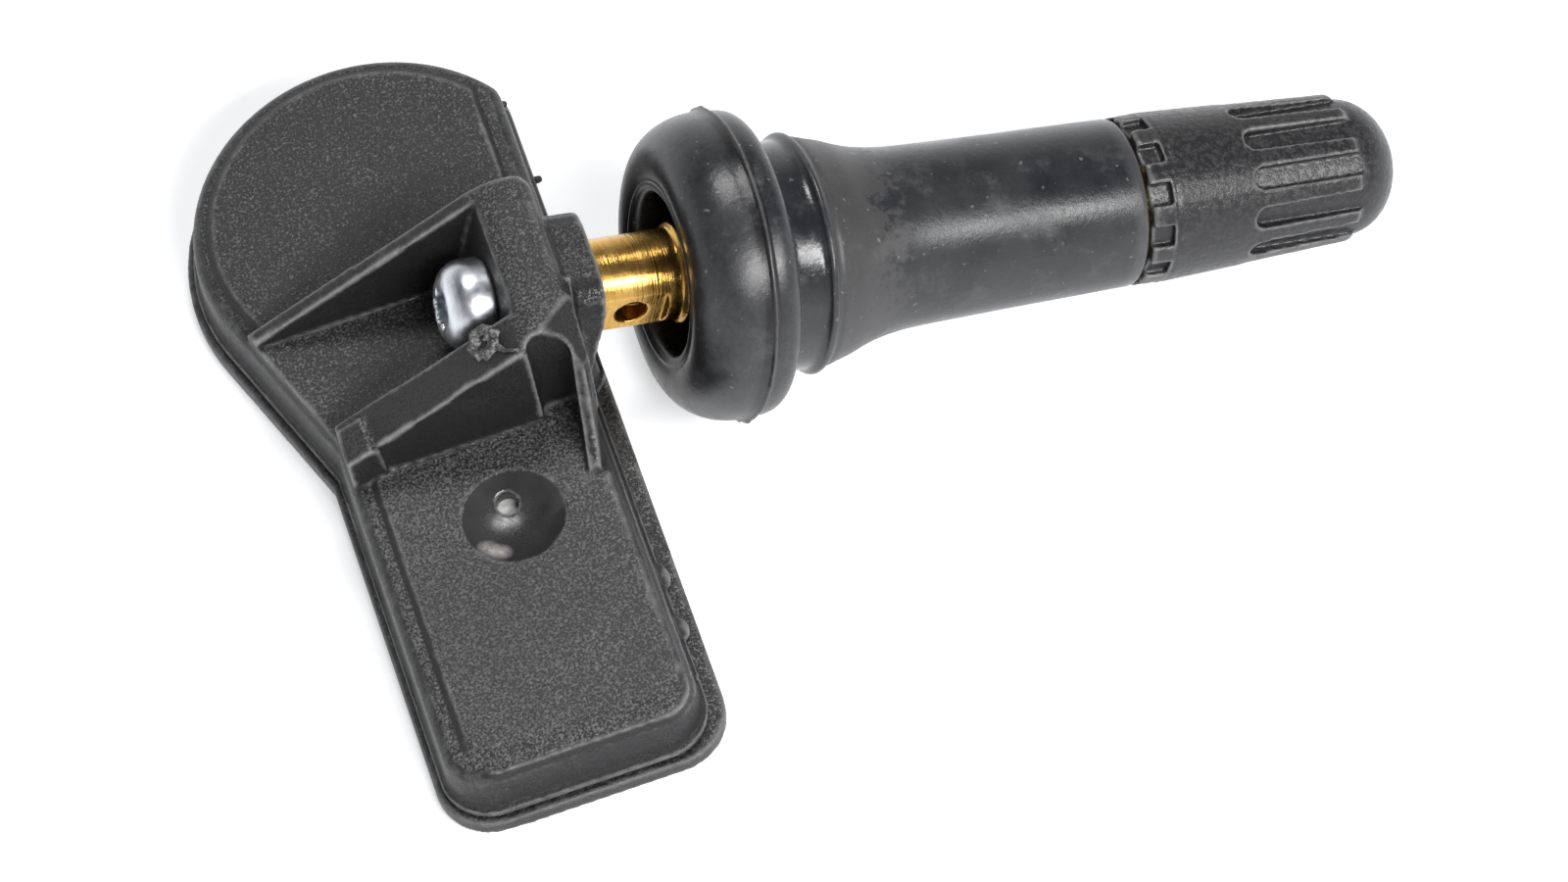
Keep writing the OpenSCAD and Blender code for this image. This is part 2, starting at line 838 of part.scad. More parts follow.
// Welded tab over the cell, bent down to the board
module battery_tab_top() {
    color([0.8, 0.8, 0.78])
        at_housing() {
            translate([-4, tab_y, cell_top + 0.01])
                cube([3, 8.5, 0.14]);
            translate([-4, tab_y, board_top])
                cube([3, 0.14, cell_top + 0.08 - board_top]);
            translate([-4, tab_y - 1.7, board_top])
                cube([3, 1.8, 0.14]);
        }
}

// Welded tab under the cell, led up to the board's edge
module battery_tab_bottom() {
    color([0.8, 0.8, 0.78])
        at_housing() {
            translate([0.2, tab_y - 0.25, plate_thick + 0.01])
                cube([2.4, 8, 0.1]);
            translate([0.2, tab_y - 0.35, plate_thick + 0.01])
                cube([2.4, 0.12, board_top - plate_thick + 0.1]);
        }
}

// Pressure sensing chip under the port
module pressure_chip() {
    color([0.12, 0.12, 0.13])
        at_housing()
            difference() {
                translate([port_centre[0] - 3, port_centre[1] - 3, board_top])
                    cube([6, 6, 1.6]);
                translate([port_centre[0], port_centre[1], board_top + 0.8])
                    cylinder(h = 2, r = 0.8, $fn = 36);
            }
}

// Ring that seals the chip against the port
module port_gasket() {
    color([0.8, 0.8, 0.78])
        at_housing()
            translate([port_centre[0], port_centre[1], board_top + 1.6])
                difference() {
                    cylinder(h = port_pad_z - board_top - 1.6 - 0.01, r = 1.9, $fn = 48);
                    translate([0, 0, -1])
                        cylinder(h = 3, r = 0.9, $fn = 36);
                }
}

// White vent membrane at the foot of the port
module port_membrane() {
    color([0.92, 0.93, 0.92])
        at_housing()
            translate([port_centre[0], port_centre[1], port_pad_z])
                cylinder(h = 0.1, r = 1.05, $fn = 36);
}

// Control and transmitter chip
module control_chip() {
    color([0.1, 0.1, 0.1])
        at_housing()
            translate([-plate_half + 3.55, -17.2, board_top])
                cube([4.2, 4.2, 0.9]);
}

// Half length and near edge of the wake-up aerial, which lies along the wall of the square end
coil_half = plate_half - 4.1;
coil_y = -body_reach + ledge_left + wall + 0.55;

// Ferrite bar of the wake-up aerial, with end cheeks
module ferrite_core() {
    color([0.2, 0.19, 0.18])
        at_housing() {
            translate([-coil_half + 0.5, coil_y + 0.4, board_top + 0.3])
                cube([2 * coil_half - 1, 2, 1.6]);
            for (x = [-coil_half, coil_half - 1.2])
                translate([x, coil_y, board_top])
                    cube([1.2, 2.8, 2.2]);
        }
}

// Copper winding on the ferrite bar
module coil_winding() {
    color([0.72, 0.4, 0.2])
        at_housing()
            difference() {
                translate([-coil_half + 1.25, coil_y + 0.15, board_top + 0.05])
                    cube([2 * coil_half - 2.5, 2.5, 2.1]);
                translate([-coil_half, coil_y + 0.4, board_top + 0.3])
                    cube([2 * coil_half, 2, 1.6]);
            }
}

// Quartz crystal in a metal can
module crystal_can() {
    color([0.8, 0.8, 0.75])
        at_housing()
            translate([-plate_half + 3.75, -29.0, board_top])
                cube([3.2, 2.5, 0.8]);
}

// Row of small capacitors and resistors
module capacitor_row() {
    color([0.6, 0.5, 0.35])
        at_housing()
            for (i = [0:4])
                translate([-0.6 + 0.95 * i, -28.6, board_top])
                    cube([0.6, 1.2, 0.55]);
}

// Place and ends of the radio aerial
aerial_x = plate_half - ledge_right - wall - 0.85;
aerial_low = -body_reach + 4.5;
aerial_high = -12;

// Flat strip of the radio aerial along the wall beside the valve
module antenna_strip() {
    color([0.78, 0.74, 0.6])
        at_housing() {
            translate([aerial_x, aerial_low, board_top + 0.9])
                cube([0.3, aerial_high - aerial_low, 1.2]);
            for (y = [aerial_low, (aerial_low + aerial_high - 1) / 2, aerial_high - 1])
                translate([aerial_x, y, board_top])
                    cube([0.3, 1, 1]);
        }
}

housing_shell();
base_plate();
valve_stem();
rubber_body();
retaining_screw();
valve_cap();
cap_seal();
core_plug();
core_pin();
core_cup();
core_spring();
core_sleeve();
circuit_board();
battery_cell();
battery_tab_top();
battery_tab_bottom();
pressure_chip();
port_gasket();
port_membrane();
control_chip();
ferrite_core();
coil_winding();
crystal_can();
capacitor_row();
antenna_strip();
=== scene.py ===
# %% [markdown]
# A tyre pressure sensor: a sealed plastic housing with a radio inside, screwed to the brass foot of a
# rubber covered valve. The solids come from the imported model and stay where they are. This lesson loads
# them, gives every one a finish, and dresses the moulded pieces with softer, more exact skins.

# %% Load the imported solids
import json
import math
import bmesh
import bpy
import numpy as np
from mathutils import Matrix, Vector, noise


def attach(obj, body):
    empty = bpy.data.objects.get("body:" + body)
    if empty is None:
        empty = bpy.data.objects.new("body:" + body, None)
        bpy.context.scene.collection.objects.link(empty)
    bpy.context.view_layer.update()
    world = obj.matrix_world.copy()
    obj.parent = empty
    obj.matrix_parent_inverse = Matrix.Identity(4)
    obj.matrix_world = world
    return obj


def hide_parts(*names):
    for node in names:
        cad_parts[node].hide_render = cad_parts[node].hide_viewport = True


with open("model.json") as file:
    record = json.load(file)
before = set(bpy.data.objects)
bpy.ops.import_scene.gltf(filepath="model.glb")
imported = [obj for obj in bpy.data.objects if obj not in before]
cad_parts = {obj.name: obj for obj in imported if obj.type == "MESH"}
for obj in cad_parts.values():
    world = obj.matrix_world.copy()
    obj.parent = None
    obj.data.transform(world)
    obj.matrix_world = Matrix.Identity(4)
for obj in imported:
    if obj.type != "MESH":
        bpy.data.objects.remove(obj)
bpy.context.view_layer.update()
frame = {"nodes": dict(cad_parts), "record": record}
nodes = frame["nodes"]

# %% [markdown]
# Two frames save a lot of sums. The housing frame has its origin in the middle of the round end, on the
# underside of the plate, with x toward the valve and z out of the top face. The stem frame has its origin
# in the middle of the rubber flange and x along the stem. Both are turned as the sensor lies on the ground.

# %% The housing frame and the stem frame, in millimetres
MM = 0.001
STEM_ANGLE = math.radians(17.1)
stem_dir = Vector((math.cos(STEM_ANGLE), 0, -math.sin(STEM_ANGLE)))
up_dir = Vector((0.168740, 0.021250, 0.985430)).normalized()
out_dir = (stem_dir - stem_dir.dot(up_dir) * up_dir).normalized()
side_dir = up_dir.cross(out_dir)
housing_turn = Matrix((out_dir, side_dir, up_dir)).to_4x4()
HOUSING = Matrix.Translation(Vector((-23.9434, 14.4228, 2.354)) * MM) @ housing_turn
FLANGE = Vector((9.0, -11.3, 7.77)) + 9.42 * stem_dir
STEM = HOUSING @ Matrix.Translation(FLANGE * MM) @ Matrix.Rotation(STEM_ANGLE, 4, "Y")
print("flange centre:", [round(v / MM, 2) for v in STEM.translation])

# %% [markdown]
# The camera stands where the photographer stood. A long lens fits the flat look of the photograph. The
# place and the turn come from matching the outline of the plate, the flange and the cap.

# %% Camera
camera_data = bpy.data.cameras.new("camera")
camera = bpy.data.objects.new("camera", camera_data)
bpy.context.scene.collection.objects.link(camera)
bpy.context.scene.camera = camera
camera_data.sensor_width = 36
camera_data.lens = 168.42
camera_data.clip_start = 0.01
camera_data.clip_end = 20
right = Vector((0.949928, -0.308546, 0.049352))
upward = Vector((0.229969, 0.797277, 0.558089))
turn = Matrix((right, upward, right.cross(upward))).transposed().to_4x4()
camera.matrix_world = Matrix.Translation((-0.10203, -0.24270, 0.38053)) @ turn
print("camera lens:", camera_data.lens)

# %% [markdown]
# Maths in a material reads best as sums. The first class wraps one socket and gives it the usual operators,
# so that a mask is written as 1 - mask. Every sum adds the Math node that Blender would use. The second
# class adds nodes to any tree, and the third is a material that starts from Object coordinates.

# %% Shader sums
class Value:
    def __init__(self, owner, socket):
        self.owner = owner
        self.socket = socket

    def math(self, operation, a, b):
        return self.owner.node("ShaderNodeMath", {"operation": operation}, {0: a, 1: b})

    def __add__(self, other): return self.math("ADD", self, other)
    def __radd__(self, other): return self.math("ADD", other, self)
    def __sub__(self, other): return self.math("SUBTRACT", self, other)
    def __rsub__(self, other): return self.math("SUBTRACT", other, self)
    def __mul__(self, other): return self.math("MULTIPLY", self, other)
    def __rmul__(self, other): return self.math("MULTIPLY", other, self)
    def at_least(self, other): return self.math("MAXIMUM", self, other)


class Nodes:
    def __init__(self, tree):
        self.tree = tree

    def node(self, kind, settings={}, inputs={}, out=0):
        made = self.tree.nodes.new(kind)
        for key, value in settings.items():
            if key == "stops":
                ramp = made.color_ramp
                while len(ramp.elements) < len(value):
                    ramp.elements.new(0.5)
                for element, (position, level) in zip(ramp.elements, value):
                    element.position = position
                    element.color = (level, level, level, 1)
            else:
                setattr(made, key, value)
        for key, value in inputs.items():
            self.feed(made.inputs[key], value)
        return Value(self, made.outputs[out])

    def feed(self, socket, value):
        if isinstance(value, Value):
            self.tree.links.new(value.socket, socket)
        elif isinstance(value, tuple) and len(value) == 3 and socket.type == "RGBA":
            socket.default_value = (*value, 1)
        else:
            socket.default_value = value

    def seen_by_rays(self):
        """1 for camera, mirror and glass rays, 0 for the rays that only carry light."""
        camera_ray, glossy_ray, clear_ray = [self.node("ShaderNodeLightPath", out=f"Is {kind} Ray")
                                             for kind in ("Camera", "Glossy", "Transmission")]
        return camera_ray.at_least(glossy_ray).at_least(clear_ray)

print("sums ready")

# %% [markdown]
# The finish adds the nodes that nearly every material here wants: a noise, a ramp between two grey levels,
# a mix of two colours, a bump, the place of a point in another frame, and the bend attribute of a skin.

# %% Finishes
class Finish(Nodes):
    def __init__(self, name, **constants):
        self.material = bpy.data.materials.new(name)
        self.material.use_nodes = True
        super().__init__(self.material.node_tree)
        self.shader = self.tree.nodes["Principled BSDF"]
        self.place = self.node("ShaderNodeTexCoord", out="Object")
        for socket, value in constants.items():
            self.set(socket.replace("_", " "), value)

    def set(self, socket, value):
        self.feed(self.shader.inputs[socket], value)

    def noise(self, scale, detail=2.0, rough=0.5, place=None):
        return self.node("ShaderNodeTexNoise", {}, {"Vector": place or self.place, "Scale": scale,
                         "Detail": detail, "Roughness": rough}, "Fac")

    def ramp(self, value, *stops):
        return self.node("ShaderNodeValToRGB", {"stops": stops}, {"Fac": value}, "Color")

    def mix(self, factor, a, b):
        return self.node("ShaderNodeMix", {"data_type": "RGBA"}, {0: factor, 6: a, 7: b}, 2)

    def bump(self, height, distance):
        return self.node("ShaderNodeBump", {}, {"Height": height, "Distance": distance, "Strength": 1.0},
                         "Normal")

    def within(self, matrix):
        back = matrix.inverted()
        return self.node("ShaderNodeMapping", {}, {"Vector": self.place, "Rotation": back.to_euler(),
                         "Location": back.translation})

    def bend(self):
        return self.node("ShaderNodeAttribute", {"attribute_name": "bend"}, out="Fac")

print("finishes ready")

# %% [markdown]
# The housing is a glass filled nylon moulding. Faces that lie flat in the tool have a fine spark eroded
# grain: tiny pits that stay dark and tiny tops that are painted lighter, partly grain and partly painted
# glints for the light the grain catches from above. Walls slide out of the tool, so they are smooth and get no
# glints, which leaves them darker. The way a face points, seen in the housing frame, tells one from the other.
# The grain is painted lighter toward the square end, as painted light for the lamps that light that end more.

# %% The faces of the housing
GRAIN = ((0.45, 0), (0.63, 1))

# Places without grain, in the housing frame: the dish and the two drops of weld plastic, with their radius
SMOOTH = [((0.7, -23.98, 5.5), 3.25), ((8.1, -29.0, 1.3), 0.95), ((8.1, -32.85, 1.3), 0.95)]
SMOOTH_DARK, SMOOTH_LIGHT = (0.025, 0.025, 0.026), (0.075, 0.075, 0.076)

# Painted highlights: place, inner and outer radius, colour. Two on the lower left of the dish, one on the web
PAINTED_HIGHLIGHTS = [((-1.45, -25.5, 5.1), -0.25, 0.85, (0.58, 0.54, 0.52)),
          ((-0.8, -25.95, 5.1), -0.25, 0.85, (0.64, 0.60, 0.58)),
          ((5.7, -23.0, 6.5), 0.2, 1.1, (0.34, 0.34, 0.34))]
print("smooth places:", len(SMOOTH), "painted highlight patches:", len(PAINTED_HIGHLIGHTS))


# A ramp holds 0 to 1, so distances are taken in centimetres
def spot(finish, place_cm, centre, inner, outer):
    away = finish.node("ShaderNodeVectorMath", {"operation": "DISTANCE"},
                       {0: place_cm, 1: tuple(v / 10 for v in centre)}, "Value")
    return finish.ramp(away, (inner / 10, 1), (outer / 10, 0))


def housing_faces(finish, pits, fine, slow, dark, light, wall):
    facing = finish.node("ShaderNodeNewGeometry", out="Normal")
    lying = finish.node("ShaderNodeVectorMath", {"operation": "DOT_PRODUCT"},
                        {0: facing, 1: HOUSING.to_3x3() @ Vector((0, 0, 1))}, "Value")
    flat = finish.ramp(lying, (0.90, 0), (0.965, 1))
    place = finish.within(HOUSING)
    end = finish.node("ShaderNodeSeparateXYZ", {}, {"Vector": place}, "Y")
    # Painted light: the grain is shifted lighter toward the square end, standing in for the lamps lighting that
    # end more than the round end.
    painted_end_light = finish.node("ShaderNodeMapRange", {}, {"Value": end, "From Min": -0.004, "From Max": -0.022,
                          "To Min": -0.06, "To Max": 0.0}, "Result")
    # Painted glints: on faces that point up, the tops of the grain are painted light, partly grain and partly
    # glints of light from above.
    grain_and_glints = finish.ramp(pits + painted_end_light, *GRAIN) * (0.75 + slow * 0.25)
    tone = finish.mix(flat, finish.mix(fine * 0.3, wall, dark), finish.mix(grain_and_glints, dark, light))
    place_cm = finish.node("ShaderNodeVectorMath", {"operation": "SCALE"}, {0: place, "Scale": 100}, "Vector")
    polished = 0.0
    for centre, radius in SMOOTH:
        polished = spot(finish, place_cm, centre, radius - 0.12, radius + 0.08) + polished
    tone = finish.mix(polished, tone, finish.mix(slow, SMOOTH_DARK, SMOOTH_LIGHT))
    # Painted highlights: light patches in the dish and on the web, broken up by a noise, stand in for glints of
    # the lamps.
    highlight_breakup = finish.ramp(finish.noise(2400, 5, 0.8), (0.35, 0.35), (0.6, 1))
    for centre, inner, outer, colour in PAINTED_HIGHLIGHTS:
        tone = finish.mix(spot(finish, place_cm, centre, inner, outer) * highlight_breakup, tone, colour)
    return tone, flat - polished * 1.8, polished

# %% [markdown]
# Edges are painted light, partly by wear and partly as a painted highlight where a rounded edge catches the
# lamps. Corners get a painted tone: painted light at the foot of the ribs of the housing, painted shade in the
# flutes and slots of the cap. Both are read from an attribute called bend, which the skins get further down:
# above 0.5 on an edge, below 0.5 in a corner.

# %% Plastics
WORN_EDGE_AND_HIGHLIGHT = (0.36, 0.36, 0.355)


def moulded(name, dark, light, rough, grain, depth, edge_wear_and_light=0.0, wall=None, painted_corner_tone=None):
    finish = Finish(name, Specular_IOR_Level=0.5)
    slow = finish.ramp(finish.noise(110, 4, 0.6), (0.35, 0), (0.7, 1))
    pits = finish.noise(grain, 2, 0.8)
    fine = finish.ramp(pits, *GRAIN)
    if wall:
        tone, flat, polished = housing_faces(finish, pits, fine, slow, dark, light, wall)
    else:
        tone, flat, polished = finish.mix(fine * (0.7 + slow * 0.3), dark, light), 0.0, 0.0
    if edge_wear_and_light:
        bend = finish.bend()
        patchy = finish.noise(1100, 5, 0.75)
        # Edges are painted light: partly wear, partly a painted highlight where a rounded edge catches the
        # lamps.
        edge = finish.ramp(bend + (patchy - 0.5) * 0.35, (0.56, 0), (0.88, 1))
        tone = finish.mix(edge * edge_wear_and_light, tone, WORN_EDGE_AND_HIGHLIGHT)
        if painted_corner_tone:
            # Corners take a painted tone: painted light in the hollows of the housing and at the foot of its
            # ribs, painted shade in the flutes and slots of the cap.
            corner = finish.ramp(bend + (patchy - 0.5) * 0.2, (0.16, 1), (0.34, 0))
            tone = finish.mix(corner * edge_wear_and_light, tone, painted_corner_tone)
    finish.set("Base Color", tone)
    finish.set("Roughness", rough + (fine - 0.5) * 0.15 + flat * 0.15)
    finish.set("Normal", finish.bump(fine * (1.0 - polished), depth))
    return finish.material


# The housing's corners get painted light.
housing_plastic = moulded("housing plastic", (0.014, 0.014, 0.015), (0.25, 0.25, 0.248), 0.40, 6200, 0.00004,
                          edge_wear_and_light=0.9, wall=(0.012, 0.012, 0.013), painted_corner_tone=(0.13, 0.13, 0.13))
base_plastic = moulded("base plastic", (0.008, 0.008, 0.009), (0.045, 0.045, 0.045), 0.42, 4200, 0.00003,
                       edge_wear_and_light=0.5)
# The cap's flutes and slots get painted shade.
cap_plastic = moulded("cap plastic", (0.022, 0.022, 0.024), (0.046, 0.046, 0.048), 0.37, 2600, 0.00001,
                      edge_wear_and_light=0.6, painted_corner_tone=(0.004, 0.004, 0.004))
torn_plastic = moulded("torn plastic", (0.05, 0.05, 0.05), (0.34, 0.34, 0.335), 0.45, 2600, 0.00004)
print("plastics made")

# %% [markdown]
# The rubber came out of a polished mould, so it is satin rather than matt, and shines most in the groove
# where the wheel will grip it. Handling leaves pale smears, dull patches and specks of dust. Beside the
# ridge a dull film with a ragged end is left over from fitting.

# %% Rubber
# A ramp holds 0 to 1. This is how much of it one millimetre of stem takes.
ALONG = 0.04


def rubber(name, dark, light, rough, worn=False):
    finish = Finish(name, Specular_IOR_Level=0.6)
    cloud = finish.ramp(finish.noise(190, 5, 0.65), (0.3, 0), (0.7, 1))
    fine = finish.noise(2600, 4, 0.7)
    smear = finish.ramp(finish.noise(420, 6, 0.7), (0.52, 0), (0.7, 1))
    dust = finish.ramp(finish.noise(2300, 1), (0.72, 0), (0.78, 1))
    tone = finish.mix(cloud, dark, light)
    dull = smear
    if worn:
        along = finish.node("ShaderNodeSeparateXYZ", {}, {"Vector": finish.within(STEM)}, "X") * (ALONG / MM)
        ragged = along + (finish.noise(900, 6, 0.75) - 0.5) * 0.55
        film = (finish.ramp(along, (4.75 * ALONG, 0), (5.125 * ALONG, 1))
                * finish.ramp(ragged, (9.0 * ALONG, 1), (10.0 * ALONG, 0)))
        groove = (finish.ramp(along, (2.25 * ALONG, 0), (2.5 * ALONG, 1))
                  * finish.ramp(along, (4.125 * ALONG, 1), (4.375 * ALONG, 0)))
        bend = finish.bend()
        # Painted shade darkens the corners of the rubber, and a painted highlight lightens its edges.
        corner = finish.ramp(bend, (0.30, 1), (0.44, 0))
        edge = finish.ramp(bend + (fine - 0.5) * 0.3, (0.58, 0), (0.8, 1))
        tone = finish.mix(film * 0.5, tone, (0.075, 0.073, 0.074))
        tone = finish.mix(edge * 0.5, tone, (0.10, 0.10, 0.105))
        tone = finish.mix(corner, tone, (0.006, 0.006, 0.007))
        dull = smear + film * 0.9 - groove
    tone = finish.mix(smear * 0.3, tone, (0.15, 0.15, 0.155))
    finish.set("Base Color", finish.mix(dust * 0.6, tone, (0.22, 0.22, 0.22)))
    finish.set("Roughness", rough + (cloud - 0.5) * 0.14 + dull * 0.14)
    finish.set("Normal", finish.bump(fine, 0.00002))
    return finish.material


valve_rubber = rubber("valve rubber", (0.010, 0.011, 0.014), (0.034, 0.035, 0.038), 0.30, worn=True)
seal_rubber = rubber("seal rubber", (0.20, 0.05, 0.04), (0.26, 0.08, 0.06), 0.5)
print("rubbers made")

# %% [markdown]
# The stem is turned from bar, and the tool leaves fine rings round it. A Mapping node turns the pattern into
# the stem's own direction and squeezes it along the axis, so that a plain noise becomes rings.

# %% Metals
def metal(name, dark, light, rough, scale=600, rub=0.15, rings=0.0):
    finish = Finish(name, Metallic=1.0)
    cloud = finish.ramp(finish.noise(scale, 5, 0.65), (0.3, 0), (0.7, 1))
    marks = cloud
    if rings:
        squeezed = finish.node("ShaderNodeMapping", {},
                               {"Vector": finish.within(STEM), "Scale": (1.0, 0.03, 0.03)})
        marks = finish.ramp(finish.noise(rings, 3, 0.7, squeezed), (0.3, 0), (0.7, 1))
        finish.set("Normal", finish.bump(marks, 0.000012))
    else:
        finish.set("Normal", finish.bump(finish.noise(scale * 6, 2), 0.000006))
    finish.set("Base Color", finish.mix(0.5 * cloud + 0.5 * marks, dark, light))
    finish.set("Roughness", rough + (cloud - 0.5) * rub)
    return finish.material


brass = metal("machined brass", (0.46, 0.23, 0.045), (0.84, 0.54, 0.16), 0.25, 500, 0.14, 6500)
zinc_steel = metal("zinc plated steel", (0.52, 0.55, 0.60), (0.84, 0.87, 0.90), 0.33, 700, 0.16)
spring_steel = metal("spring steel", (0.45, 0.45, 0.47), (0.6, 0.6, 0.62), 0.3)
cell_can = metal("cell can", (0.62, 0.63, 0.64), (0.74, 0.75, 0.76), 0.3)
nickel_tab = metal("nickel strip", (0.62, 0.60, 0.56), (0.74, 0.72, 0.68), 0.32)
copper_wire = metal("copper wire", (0.70, 0.30, 0.12), (0.86, 0.42, 0.20), 0.3)
print("metals made")

# %% [markdown]
# What sits inside is seldom seen. It gets plain finishes that are right for each material. Then every solid
# is given the finish that its slot in the record asks for.

# %% Inner plastics, and a finish for every solid
white_plastic = moulded("white plastic", (0.62, 0.63, 0.61), (0.72, 0.73, 0.71), 0.5, 3000, 0.00001)
board_laminate = moulded("board laminate", (0.02, 0.10, 0.05), (0.03, 0.14, 0.07), 0.35, 3000, 0.00001)
chip_plastic = moulded("chip plastic", (0.015, 0.015, 0.017), (0.025, 0.025, 0.028), 0.55, 5000, 0.00002)
ferrite = moulded("ferrite", (0.03, 0.029, 0.028), (0.05, 0.048, 0.046), 0.6, 4000, 0.00003)

finishes = {
    "housing_plastic": housing_plastic, "base_plastic": base_plastic, "cap_plastic": cap_plastic,
    "valve_rubber": valve_rubber, "seal_rubber": seal_rubber, "brass": brass, "zinc_steel": zinc_steel,
    "spring_steel": spring_steel, "white_plastic": white_plastic, "board_laminate": board_laminate,
    "cell_can": cell_can, "nickel_tab": nickel_tab, "chip_plastic": chip_plastic, "ferrite": ferrite,
    "copper_wire": copper_wire,
}
slots = {row["node"]: row["material_slot"] for row in frame["record"]["subparts"]}
for name, solid in nodes.items():
    solid.data.materials.clear()
    solid.data.materials.append(finishes[slots[name]])
print("finishes given:", len(nodes))

# %% [markdown]
# Every new piece is put in the scene, rides a body and names its slot. One that takes the place of a solid
# says so.

# %% Handing in a piece
def finished(name, mesh, material, body, replaced=()):
    piece = bpy.data.objects.new(name, mesh)
    bpy.context.scene.collection.objects.link(piece)
    mesh.materials.clear()
    mesh.materials.append(material)
    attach(piece, body)
    if replaced:
        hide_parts(*replaced)
    print(name, "faces:", len(mesh.polygons))

# %% [markdown]
# The bend attribute compares each point with its surroundings. The mesh is relaxed a few times, and the way
# a point stands out of the relaxed mesh, along its normal, says whether it is on an edge or in a corner.

# %% Marking edges and corners
def mark_bends(mesh, rounds, depth):
    count = len(mesh.vertices)
    place = np.empty(count * 3)
    mesh.vertices.foreach_get("co", place)
    place = place.reshape(-1, 3)
    pairs = np.empty(len(mesh.edges) * 2, dtype=int)
    mesh.edges.foreach_get("vertices", pairs)
    a, b = pairs.reshape(-1, 2).T
    met = np.maximum(np.bincount(a, minlength=count) + np.bincount(b, minlength=count), 1)
    calm = place.copy()
    for _ in range(rounds):
        sums = [np.bincount(a, calm[b, i], count) + np.bincount(b, calm[a, i], count) for i in range(3)]
        calm = 0.5 * calm + 0.5 * np.stack([total / met for total in sums], 1)
    normal = np.empty(count * 3)
    mesh.vertices.foreach_get("normal", normal)
    out = ((place - calm) * normal.reshape(-1, 3)).sum(1)
    bend = mesh.attributes.new("bend", "FLOAT", "POINT")
    bend.data.foreach_set("value", np.clip(0.5 + 0.5 * out / (depth * MM), 0, 1))
    print("bend", round(float(out.min() / MM), 3), round(float(out.max() / MM), 3))

# %% [markdown]
# A moulded part has no sharp edges: the tool maker rounds them and the plastic shrinks them further. A
# bevel would trip over the many small faces of the solid. So the skin is a copy of the solid, rebuilt on a
# fine even grid, relaxed a little, and thinned out again where it is flat.

# %% Skins over the moulded solids
def merged_copy(node):
    mesh = nodes[node].data.copy()
    bm = bmesh.new()
    bm.from_mesh(mesh)
    bmesh.ops.remove_doubles(bm, verts=bm.verts, dist=0.001 * MM)
    bm.to_mesh(mesh)
    bm.free()
    return mesh


def skin(node, name, grid, passes, kept, rounds=0, depth=0.1):
    rough = bpy.data.objects.new("rough", merged_copy(node))
    bpy.context.scene.collection.objects.link(rough)
    remesh = rough.modifiers.new("grid", "REMESH")
    remesh.mode = "VOXEL"
    remesh.voxel_size = grid * MM
    relax = rough.modifiers.new("relax", "SMOOTH")
    relax.factor = 0.5
    relax.iterations = passes
    thin = rough.modifiers.new("thin", "DECIMATE")
    thin.ratio = kept
    result = bpy.data.meshes.new_from_object(rough.evaluated_get(bpy.context.evaluated_depsgraph_get()))
    bpy.data.objects.remove(rough)
    result.name = name
    for face in result.polygons:
        face.use_smooth = True
    if rounds:
        mark_bends(result, rounds, depth)
    return result


housing_mesh = skin("housing_shell", "housing_skin", grid=0.15, passes=4, kept=0.55, rounds=8, depth=0.09)
finished("housing_skin", housing_mesh, housing_plastic, "sensor", ["housing_shell"])
plate_mesh = skin("base_plate", "plate_skin", grid=0.16, passes=4, kept=0.3, rounds=8, depth=0.09)
finished("plate_skin", plate_mesh, base_plastic, "sensor", ["base_plate"])
cap_mesh = skin("valve_cap", "cap_skin", grid=0.12, passes=4, kept=1.0, rounds=8, depth=0.07)
finished("cap_skin", cap_mesh, cap_plastic, "cap", ["valve_cap"])

# %% [markdown]
# The screw and the stem get skins too. The threaded end of the stem is drawn in, which leaves room for the
# thread that is laid round it further down.

# %% Screw and stem
screw_mesh = skin("retaining_screw", "screw_skin", grid=0.07, passes=16, kept=1.0)
finished("screw_skin", screw_mesh, zinc_steel, "sensor", ["retaining_screw"])

THREAD = (27.3, 35.4)  # where the thread starts and ends along the stem
OUTSIDE = 3.4  # points farther from the axis than this are on the outside of the stem, not in its bore
DRAWN_IN = 0.55
stem_mesh = skin("valve_stem", "stem_skin", grid=0.095, passes=5, kept=0.85)
stem_mesh.transform(STEM.inverted())
for corner in stem_mesh.vertices:
    along, across = corner.co.x / MM, Vector((0, corner.co.y, corner.co.z))
    if THREAD[0] < along < THREAD[1] and across.length / MM > OUTSIDE:
        corner.co -= across.normalized() * min(DRAWN_IN, along - THREAD[0], THREAD[1] - along) * MM
stem_mesh.transform(STEM)
finished("stem_skin", stem_mesh, brass, "sensor", ["valve_stem"])

# %% [markdown]
# Turned forms are drawn once as a section, with a radius and a place along the axis for each point, and
# spun. A curve through the points keeps the section smooth.

# %% Spinning a section
def smooth_line(points, steps):
    line = []
    for i in range(len(points) - 1):
        p0, p1 = points[max(i - 1, 0)], points[i]
        p2, p3 = points[i + 1], points[min(i + 2, len(points) - 1)]
        for k in range(steps):
            t = k / steps
            line.append(tuple(0.5 * (2 * b + (c - a) * t + (2 * a - 5 * b + 4 * c - d) * t * t
                        + (3 * b - a - 3 * c + d) * t ** 3) for a, b, c, d in zip(p0, p1, p2, p3)))
    return line + [points[-1]]


def closed_up(bm, name):
    bmesh.ops.recalc_face_normals(bm, faces=bm.faces)
    mesh = bpy.data.meshes.new(name)
    for face in bm.faces:
        face.smooth = True
    bm.to_mesh(mesh)
    bm.free()
    return mesh


